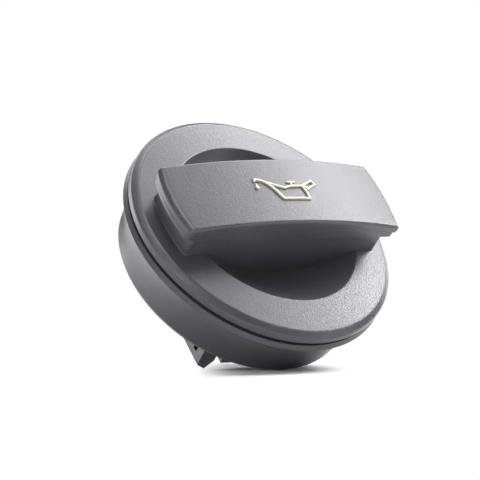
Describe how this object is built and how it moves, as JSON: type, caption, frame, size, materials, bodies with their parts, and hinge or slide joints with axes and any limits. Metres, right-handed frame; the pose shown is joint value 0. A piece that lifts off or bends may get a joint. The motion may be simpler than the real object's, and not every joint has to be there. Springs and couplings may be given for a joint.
{
  "type": "oil filler cap",
  "caption": "Oil filler cap with a domed disc, an arched grip bar between two finger wells, a flared skirt ring and a bayonet plug with a sealing ring.",
  "frame": {"origin": "on the cap's axis, in the plane of the four claw tips it stands on", "axes": "+Z along the cap's axis towards the grip, +X along the grip bar, +Y across it"},
  "size_m": [0.0784, 0.0784, 0.0466],
  "materials": {
    "charcoal_plastic": "fine textured, matte",
    "plug_plastic": "smooth moulded, satin",
    "seal_rubber": "smooth, matte"
  },
  "bodies": {
    "root": {"cap_top": "charcoal_plastic", "grip_cover": "charcoal_plastic", "skirt_ring": "charcoal_plastic", "bayonet_plug": "plug_plastic", "neck_seal": "seal_rubber"}
  },
  "joints": []
}
